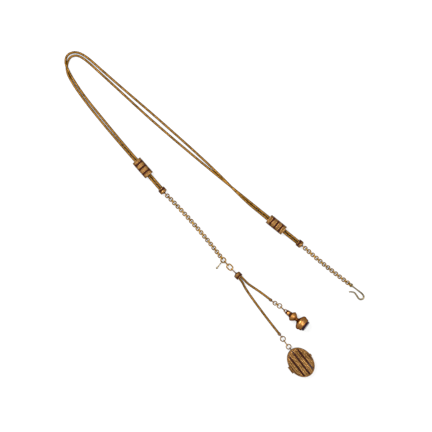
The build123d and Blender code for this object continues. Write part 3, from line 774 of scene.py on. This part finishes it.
def cap(side, body, eye_length):
    """An end cap with its rim, band groove, domed shoulder, nose and eye."""
    wires = settings().wires
    node = f"{side}_cap"
    origin, ahead, _ = mouth(side)
    nose = extent(node, origin, ahead)[1] - eye_length
    band, _, sizes = spread(islands(f"{side}_cap_enamel")[0])
    radius = max(sizes[0], sizes[1]) / 2
    band_start = (band - origin).dot(ahead) - sizes[2] / 2
    band_end = band_start + sizes[2]
    groove = radius * 0.84
    lip = radius * 0.04
    shape = Shape()
    place = placed(origin, UP.cross(ahead), ahead)
    profile = [
        (CAP_HOLLOW, radius * 0.5), (0, radius * 0.8), (0, radius * 0.9), (lip, radius * 0.95),
        (band_start * 0.5, radius * 0.965), (band_start - lip, radius * 0.95),
        (band_start, radius * 0.9), (band_start, groove), (band_end, groove), (band_end, radius * 0.95),
        (band_end + lip, radius * 0.985), (band_end + 4 * lip, radius * 0.985),
        (band_end + 5 * lip, radius * 0.95), (band_end + 6 * lip, radius * 0.975),
        (nose * 0.8, radius * 0.975), (nose * 0.87, radius * 0.9), (nose * 0.93, radius * 0.72),
        (nose * 0.97, radius * 0.5), (nose, radius * 0.36), (nose * 1.05, radius * 0.3),
        (nose * 1.09, radius * 0.18),
    ]
    turned(shape, place, profile)
    eye = placed(origin + ahead * (nose + eye_length / 2), ahead, UP.cross(ahead))
    wire_ring(shape, eye, eye_length, wires.cap_eye, wires.cap_eye_wire)
    shape.piece(f"{side}_turned_cap", body, "gold", finish("gold"), (node,))
    dress(f"{side}_cap_enamel", "enamel")


class FOB_OT_caps(bpy.types.Operator):
    """Turn the end caps and the fob cap with its rivet"""

    bl_idname = "watch_fob.caps"
    bl_label = "Turn caps"

    def execute(self, context):
        wires = settings().wires
        cap("left", "strands", wires.cap_eye)
        cap("right", "strands", wires.cap_eye)
        cap("fob", "fob", wires.fob_eye)
        rivet = spread(islands("fob_cap_rivet")[0])[0]
        low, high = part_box("fob_cap_rivet")
        seat = placed(Vector((rivet.x, rivet.y, low[2])), Vector((1, 0, 0)), UP)
        shape = Shape()
        bead(shape, seat, RIVET_RADIUS, RIVET_RADIUS, high[2] - low[2], around=20, rings=6)
        shape.piece("domed_rivet", "fob", "gold", finish("gold"), ("fob_cap_rivet",))
        return {"FINISHED"}


def outline_loop(half_wide, half_high, corner, steps=6):
    """Points round a rounded rectangle, in X and Y."""
    points = []
    for quarter in range(4):
        x = (half_wide - corner) * (1 if quarter in (0, 3) else -1)
        y = (half_high - corner) * (1 if quarter in (0, 1) else -1)
        for step in range(steps + 1):
            angle = pi / 2 * (quarter + step / steps)
            points.append((x + corner * cos(angle), y + corner * sin(angle)))
    return points


SLIDE_CORNER = 1.7 * MM

# Border wires: their radius and how many sides they have
BORDER = 0.13 * MM
BORDER_SIDES = 6

# Enamel belts: how much wider than the band under them they are on each side, how deep and how proud
BELT_OVERLAP = 0.16 * MM
BELT_DEPTH = 0.12 * MM
BELT_PROUD = 0.01 * MM


def slide(side):
    """A slide's enamel belts, its border wires, its chased panels and its finishes."""
    body = f"{side}_slide"
    bands = [spread(points) for points in islands(f"{side}_slide_enamel")]
    _, ahead, left = mouth(side)
    centres = sorted((band[0] for band in bands), key=lambda centre: centre.dot(ahead))
    wide, high, band = bands[0][2]
    half = Vector((max(wide, high), min(wide, high))) / 2
    middle = centres[1]
    place = placed(middle, left, ahead)
    start, stop = extent(body, middle, ahead)
    half_belt = band / 2 + BELT_OVERLAP
    outer = outline_loop(half.x + BELT_PROUD, half.y + BELT_PROUD, SLIDE_CORNER)
    inner = outline_loop(half.x - BELT_DEPTH, half.y - BELT_DEPTH, SLIDE_CORNER - BELT_DEPTH)
    edges = [start + BORDER, stop - BORDER]
    belts = Shape()
    for centre in centres:
        at = (centre - middle).dot(ahead)
        edges += [at - half_belt - BORDER * 0.8, at + half_belt + BORDER * 0.8]
        low, high = at - half_belt, at + half_belt
        rows = [
            [(*deep, low), (*proud, low), (*proud, high), (*deep, high)]
            for deep, proud in zip(inner, outer)
        ]
        belts.grid(moved(place, rows))
    belts.piece(f"{side}_slide_belts", body, "enamel", finish("enamel"))
    borders = Shape()
    loop = outline_loop(half.x - BORDER * 0.45, half.y - BORDER * 0.45, SLIDE_CORNER)
    along = np.array(UP)
    for edge in edges:
        rows = []
        for x, y in loop:
            out = np.array((x, y, 0)) / np.hypot(x, y)
            rows.append(circle(np.array((x, y, edge)), out, along, BORDER, BORDER_SIDES))
        borders.grid(moved(place, rows))
    borders.piece(f"{side}_slide_borders", body, "gold", finish("gold"))
    chasing(side, body, place, sorted(edges), half)
    dress(body, "gold")
    dress(f"{side}_slide_enamel", "enamel")
    dress(f"{side}_slide_liner", "liner")


# Leaves of the chasing: half length, half width and height, how far apart their rows are, how many are
# in a row, how deep they sit, and the shortest panel that has them
LEAF = (0.34 * MM, 0.15 * MM, 0.1 * MM)
LEAF_PITCH = 0.72 * MM
LEAVES_ACROSS = 7
LEAF_SUNK = 0.06 * MM
LEAST_PANEL = 1.0 * MM


def chasing(side, body, place, edges, half):
    """Raised leaf-shaped beads in rows on both flats of each gold panel."""
    shape = Shape()
    flat = half.x - SLIDE_CORNER * 0.7
    for low, high in zip(edges[0::2], edges[1::2]):
        length = high - low
        if length < LEAST_PANEL:
            continue
        rows = max(1, int(length // LEAF_PITCH))
        for row in range(rows):
            at = low + length * (row + 0.5) / rows
            for number in range(LEAVES_ACROSS):
                x = -flat + 2 * flat * (number + 0.5) / LEAVES_ACROSS
                lean = pi / 4 * (1 if (row + number) % 2 else -1)
                for way in (1, -1):
                    seat = place @ Matrix.Translation((x, way * (half.y - LEAF_SUNK), at))
                    stand = Matrix.Rotation(-way * pi / 2, 4, "X")
                    seat = seat @ stand @ Matrix.Rotation(lean, 4, "Z")
                    bead(shape, seat, *LEAF)
    shape.piece(f"{side}_slide_chasing", body, "gold", finish("gold"))


class FOB_OT_slides(bpy.types.Operator):
    """Finish both slides with enamel belts, borders and chased panels"""

    bl_idname = "watch_fob.slides"
    bl_label = "Finish slides"

    def execute(self, context):
        for side in ("left", "right"):
            slide(side)
        return {"FINISHED"}


# Drop bar and watch hook


# How far the junction ring's wire pushes the bar's eye back, how much of the plain bar's dip it has,
# how thick it starts as a share of the bar, and the share of its length that swells to the tip
BAR_HANG = 0.46 * MM
BAR_DIP = 0.8
BAR_START = 0.8
BAR_SWELL = 0.2


class FOB_OT_drop_bar(bpy.types.Operator):
    """Make the drop bar on the junction ring"""

    bl_idname = "watch_fob.drop_bar"
    bl_label = "Make drop bar"

    def execute(self, context):
        wires = settings().wires
        pivot, across = joint_place("drop_bar_lift")
        points = islands("drop_bar")[0]
        outward = UP.cross(across)
        far = Vector(points[(points @ np.array(outward)).argmax()])
        drop = (pivot.z - far.z) / (far - pivot).length
        ahead = unit(outward - UP * drop * BAR_DIP)
        reach = wires.bar_eye / 2 - wires.bar_eye_wire
        eye = pivot + ahead * (reach - BAR_HANG)
        shape = Shape()
        wire_ring(shape, placed(eye, ahead, across), wires.bar_eye, wires.bar_eye, wires.bar_eye_wire)
        start = wires.bar_eye / 2 - wires.bar_eye_wire / 2
        line = [eye + ahead * (start + (wires.bar_length - start) * step / 12) for step in range(13)]

        def thick(share):
            swell = (wires.bar_knob / wires.bar - 1) * max(0.0, 1 - (1 - share) / BAR_SWELL)
            return BAR_START + (1 - BAR_START) * share + swell

        tube(shape, line, wires.bar / 2, taper=thick)
        shape.piece("drop_bar_wire", "drop_bar", "pale_gold", finish("pale"), ("drop_bar",))
        return {"FINISHED"}


# The hook's control points, as shares of its reach and of its depth
HOOK_SHARES = (
    (0.09, 0.0), (0.45, 0.05), (0.86, 0.07), (1.0, -0.4),
    (0.85, -1.0), (0.56, -0.7), (0.33, -0.52), (0.15, -1.02),
)

# The shares of the hook's length that swell from its eye and narrow to its tip, and by how much
HOOK_NECK = 0.2
HOOK_POINT = 0.25
HOOK_THINNED = 0.25


class FOB_OT_hook(bpy.types.Operator):
    """Bend the watch hook from one piece of wire"""

    bl_idname = "watch_fob.hook"
    bl_label = "Bend watch hook"

    def execute(self, context):
        wires = settings().wires
        pivot, normal = joint_place("watch_hook_turn")
        points = islands("watch_hook")[0]
        away = np.array(points - np.array(pivot))
        far = Vector(away[np.linalg.norm(away, axis=1).argmax()])
        ahead = unit(far - normal * far.dot(normal))
        flat = [Vector((x * wires.hook_reach, y * wires.hook_depth, 0)) for x, y in HOOK_SHARES]
        tip = max(smooth_line("hook_shape", flat), key=np.linalg.norm)
        place = placed(pivot, ahead, normal) @ Matrix.Rotation(-np.arctan2(tip[1], tip[0]), 4, "Z")
        line = smooth_line("hook_line", [place @ point for point in flat])
        shape = Shape()
        neck = wires.hook_eye_wire / wires.hook

        def thick(share):
            if share < HOOK_NECK:
                return neck + (1 - neck) * share / HOOK_NECK
            return 1 - HOOK_THINNED * max(0.0, 1 - (1 - share) / HOOK_POINT)

        tube(shape, line, wires.hook / 2, sides=14, taper=thick)
        wire_ring(shape, place, wires.hook_eye, wires.hook_eye, wires.hook_eye_wire)
        shape.piece("bent_watch_hook", "watch_hook", "pale_gold", finish("pale"), ("watch_hook",))
        return {"FINISHED"}


# Seal


# From the start of the seal's stem to the middle of its first collar
BEFORE_COLLAR = 0.63 * MM


def seal_place():
    """Where the seal's stem starts, and the direction from there to its stone."""
    stone = spread(islands("seal_stone")[0])[0]
    collars = [spread(points)[0] for points in islands("seal_enamel")]
    near = max(collars, key=lambda middle: (middle - stone).length)
    ahead = unit(stone - near)
    return near - ahead * BEFORE_COLLAR, ahead


class FOB_OT_seal(bpy.types.Operator):
    """Turn the seal's stem, bell and foot, and finish its collars and stone"""

    bl_idname = "watch_fob.seal"
    bl_label = "Turn seal"

    def execute(self, context):
        wires = settings().wires
        origin, ahead = seal_place()
        place = placed(origin, UP.cross(ahead), ahead)
        stem = rounded([
            (0, 0.5), (0, 0.95), (0.14, 1.15), (0.96, 1.15), (1.0, 1.3), (1.25, 1.46), (1.93, 1.56),
            (2.6, 1.46), (2.84, 1.3), (2.88, 1.15), (3.56, 1.15), (3.62, 1.8), (3.9, 2.3), (4.3, 2.7),
            (4.73, 2.98), (5.0, 2.98), (5.6, 2.8), (6.4, 2.2), (7.1, 1.6), (7.5, 1.25), (7.65, 1.08),
            (7.8, 1.22), (7.98, 1.3), (8.16, 1.22), (8.3, 1.08), (8.43, 1.04), (8.43, 0.5),
        ])
        bell = Shape()
        turned(bell, place, stem, around=72)
        loop = joint_place("seal_bend")[0]
        wire_ring(bell, placed(loop, ahead, UP), wires.seal_loop, wires.seal_loop, wires.small_wire)
        bell.piece("seal_stem_and_bell", "seal", "seal_gold", finish("seal"), ("seal_bell",))
        foot_shape = rounded([
            (8.43, 0.6), (8.43, 1.1), (8.7, 1.35), (9.0, 1.85), (9.4, 2.6), (9.8, 3.4), (10.2, 4.0),
            (10.7, 4.35), (11.28, 4.5), (11.9, 4.38), (12.35, 4.1), (12.7, 3.95), (12.9, 4.0),
            (13.1, 4.02), (13.3, 3.95), (13.93, 3.65), (13.93, 3.28), (13.5, 3.28), (13.5, 2.0),
        ])
        foot = Shape()
        turned(foot, place, foot_shape, around=96)
        foot.piece("seal_cushion_foot", "seal", "seal_gold", finish("seal"), ("seal_foot",))
        dress("seal_enamel", "enamel")
        dress("seal_stone", "stone")
        return {"FINISHED"}


# Locket


def locket_place():
    """The middle of the locket on the table, its long direction towards its tip."""
    low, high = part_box("locket_glass")
    ahead = joint_place("locket_cover_open")[1]
    middle = Vector(((low[0] + high[0]) / 2, (low[1] + high[1]) / 2, 0))
    return placed(middle, ahead, UP)


class FOB_OT_locket(bpy.types.Operator):
    """Finish the locket with beaded rows, a rope border and its enamel"""

    bl_idname = "watch_fob.locket"
    bl_label = "Finish locket"

    def execute(self, context):
        place = locket_place()
        beaded_rows(place)
        rim(place)
        # The cover's ground takes the darker matted gold, painted shade between its beads
        dress("locket_cover", "ground")
        for node in ("locket_back", "locket_frame", "locket_hinge_pin"):
            dress(node, "gold")
        dress("locket_enamel", "stripe")
        dress("locket_glass", "glass")
        return {"FINISHED"}


# Sizes of the locket's cover, in millimetres: half its oval, its crown, and its stripes
LOCKET_HALF = (9.45, 7.35)
CROWN_TOP = 5.7
CROWN_RADIUS = 28.0
STRIPE_PITCH = 3.3
STRIPE_WIDTH = 1.0

# Beads on a gold band: half length, half width and height, how far apart they are, how far their rows
# lie from its middle as a share of its width, and how far they keep from the oval's edge
BEAD = (0.42 * MM, 0.46 * MM, 0.3 * MM)
BEAD_PITCH = 1.0
BEAD_SHARE = 0.21
BEAD_INSET = 1.05

# Ridges along a gold band, in the same way
RIDGE_RADIUS = 0.085 * MM
RIDGE_STEP = 0.3
RIDGE_SHARE = 0.43
RIDGE_INSET = 0.9

# The rope border's strands: their size, how many there are, how far in they lie, and their lean
ROPE = (0.34 * MM, 0.16 * MM, 0.16 * MM)
ROPE_COUNT = 96
ROPE_INSET = 0.42
ROPE_LEAN = 0.6


def crown_height(x, y):
    """How high the cover's crown is at a place, in millimetres."""
    return CROWN_TOP - CROWN_RADIUS + (CROWN_RADIUS**2 - x * x - y * y) ** 0.5


def on_crown(place, x, y, turn=0.0):
    """A place on the cover's crown, its Z away from it."""
    out = unit((x, y, crown_height(x, y) - CROWN_TOP + CROWN_RADIUS))
    seat = placed(Vector((x, y, crown_height(x, y))) * MM, Vector((1, 0, 0)), out)
    return place @ seat @ Matrix.Rotation(turn, 4, "Z")


def inside_oval(x, y, inset):
    """Whether a place lies inside the locket's oval by an inset."""
    return (x / (LOCKET_HALF[0] - inset)) ** 2 + (y / (LOCKET_HALF[1] - inset)) ** 2 < 1


def beaded_rows(place):
    """Two rows of beads and two fine ridges on every gold band between the enamel stripes."""
    beads = Shape()
    ridges = Shape()
    half_count = int(LOCKET_HALF[0] / BEAD_PITCH) + 1
    ridge_count = int(LOCKET_HALF[0] / RIDGE_STEP) + 1
    gold = STRIPE_PITCH - STRIPE_WIDTH
    for band in range(-3, 3):
        centre = (band + 0.5) * STRIPE_PITCH
        for offset in (-gold * BEAD_SHARE, gold * BEAD_SHARE):
            y = centre + offset
            for number in range(-half_count, half_count + 1):
                x = (number + (0.5 if offset > 0 else 0)) * BEAD_PITCH
                if inside_oval(x, y, BEAD_INSET):
                    bead(beads, on_crown(place, x, y), *BEAD, around=10)
        for offset in (-gold * RIDGE_SHARE, gold * RIDGE_SHARE):
            y = centre + offset
            steps = [step * RIDGE_STEP for step in range(-ridge_count, ridge_count + 1)]
            line = [x for x in steps if inside_oval(x, y, RIDGE_INSET)]
            if len(line) > 3:
                points = [place @ (Vector((x, y, crown_height(x, y))) * MM) for x in line]
                tube(ridges, points, RIDGE_RADIUS, sides=6)
    # The beads and ridges take the lighter bead gold, a painted highlight
    beads.piece("locket_cover_beads", "locket_cover", "gold", finish("beads"))
    ridges.piece("locket_cover_ridges", "locket_cover", "gold", finish("beads"))


def rim(place):
    """A rope-like border round the cover's crown."""
    shape = Shape()
    long, wide = LOCKET_HALF
    for angle in turns(ROPE_COUNT):
        x = (long - ROPE_INSET) * cos(angle)
        y = (wide - ROPE_INSET) * sin(angle)
        turn = np.arctan2(wide * cos(angle), -long * sin(angle)) + ROPE_LEAN
        bead(shape, on_crown(place, x, y, turn), *ROPE)
    shape.piece("locket_rope_border", "locket_cover", "gold", finish("gold"))


# Stage


class FOB_OT_stage(bpy.types.Operator):
    """Set up the pale floor, the soft light and the camera above"""

    bl_idname = "watch_fob.stage"
    bl_label = "Set up stage"

    def execute(self, context):
        pale_floor()
        lamps()
        overhead_camera()
        return {"FINISHED"}


def seen_white(tree, strength):
    """A share that is high for what the camera, gloss or glass sees, and nought elsewhere."""
    path = shader_node(tree, "LightPath")
    seen = [path.outputs[f"Is {kind} Ray"] for kind in ("Camera", "Glossy", "Transmission")]
    either = arithmetic(tree, "MAXIMUM", seen[0], seen[1])
    return arithmetic(tree, "MULTIPLY", arithmetic(tree, "MAXIMUM", either, seen[2]), strength)


# How far the floor lies under the part, and how much of what is seen of it is plain white
FLOOR_DROP = 0.02 * MM
FLOOR_WHITE = 0.72


def pale_floor():
    """A white table top that keeps a soft shadow."""
    half = settings().stage.floor / 2
    corners = [(x * half, y * half, -FLOOR_DROP) for x, y in ((-1, -1), (1, -1), (1, 1), (-1, 1))]
    mesh = bpy.data.meshes.new("pale_floor")
    mesh.from_pydata(corners, [], [(0, 1, 2, 3)])
    floor = added("pale_floor", mesh)
    material, tree, shader = fresh("white_card", {})
    tree.nodes.remove(shader)
    card = shader_node(tree, "BsdfDiffuse", Color=(0.86, 0.86, 0.86, 1))
    glow = shader_node(tree, "Emission", Color=(1, 1, 1, 1), Strength=1.0)
    mix = shader_node(tree, "MixShader")
    tree.links.new(seen_white(tree, FLOOR_WHITE), mix.inputs[0])
    join(tree, (card, 0, mix, 1), (glow, 0, mix, 2), (mix, 0, tree.nodes["Material Output"], "Surface"))
    mesh.materials.append(material)


# Each lamp's name, place, size and power in watts, and the point that they aim at
LAMPS = (("key_lamp", (-0.45, 0.35, 0.75), 0.45, 9.0), ("fill_lamp", (0.6, -0.25, 0.7), 0.5, 3.5))
LAMP_AIM = Vector((-0.02, 0.03, 0))

# The even pale sky's grey at the horizon and overhead
SKY_LOW = (0.5, 0.5, 0.5)
SKY_HIGH = (0.95, 0.95, 0.95)


def lamps():
    """One large soft lamp up and to the left, one fill to the right, and an even pale sky."""
    for name, place, width, power in LAMPS:
        light = bpy.data.lights.new(name, "AREA")
        light.size = width
        light.energy = power
        lamp = added(name, light)
        lamp.location = place
        lamp.rotation_euler = (LAMP_AIM - Vector(place)).to_track_quat("-Z", "Y").to_euler()
    world = bpy.data.worlds.new("pale_room")
    bpy.context.scene.world = world
    world.use_nodes = True
    tree = world.node_tree
    background = tree.nodes["Background"]
    background.inputs["Strength"].default_value = 1.0
    place = shader_node(tree, "TexCoord")
    split = shader_node(tree, "SeparateXYZ")
    sky = two_tone(tree, 0.0, SKY_LOW, 0.85, SKY_HIGH)
    join(tree, (place, "Generated", split, 0), (split, "Z", sky, "Fac"))
    join(tree, (sky, "Color", background, "Color"))


# The middle of the photograph's frame, on the table
FRAME_MIDDLE = (-0.01958, 0.03066)


def overhead_camera():
    """A camera straight above the table."""
    sizes = settings().stage
    lens = bpy.data.cameras.new("overhead_camera")
    lens.lens = sizes.focal
    lens.sensor_width = 36.0
    lens.clip_end = 20.0
    owner = added("overhead_camera", lens)
    owner.location = (*FRAME_MIDDLE, sizes.height)
    bpy.context.scene.camera = owner
    bpy.context.scene.view_settings.view_transform = "Standard"


def subgroup(kind, label, text):
    """A set of settings among the others."""
    return bpy.props.PointerProperty(type=kind, name=label, description=text)


class WatchFobSettings(bpy.types.PropertyGroup):
    strands: subgroup(StrandSizes, "Strands", "Sizes of the woven strands")
    wires: subgroup(WireSizes, "Wire", "Sizes of the wire parts")
    finishes: subgroup(Finishes, "Finishes", "Colours of the finishes")
    stage: subgroup(StageSizes, "Stage", "Camera and floor")


OPERATORS = (
    FOB_OT_stage, FOB_OT_strands, FOB_OT_fob_cords, FOB_OT_links, FOB_OT_caps, FOB_OT_slides,
    FOB_OT_drop_bar, FOB_OT_hook, FOB_OT_seal, FOB_OT_locket,
)


class FOB_PT_panel(bpy.types.Panel):
    """The watch fob's pieces"""

    bl_idname = "FOB_PT_panel"
    bl_label = "Watch Fob"
    bl_space_type = "VIEW_3D"
    bl_region_type = "UI"
    bl_category = "Watch Fob"

    def draw(self, context):
        for operator in OPERATORS:
            self.layout.operator(operator.bl_idname)


CLASSES = (StrandSizes, WireSizes, Finishes, StageSizes, WatchFobSettings, *OPERATORS, FOB_PT_panel)


def register():
    for kind in CLASSES:
        bpy.utils.register_class(kind)
    bpy.types.Scene.watch_fob = bpy.props.PointerProperty(type=WatchFobSettings)


def unregister():
    del bpy.types.Scene.watch_fob
    for kind in reversed(CLASSES):
        bpy.utils.unregister_class(kind)


def main():
    register()
    for operator in OPERATORS:
        group, name = operator.bl_idname.split(".")
        getattr(getattr(bpy.ops, group), name)()


if __name__ == "__main__":
    main()
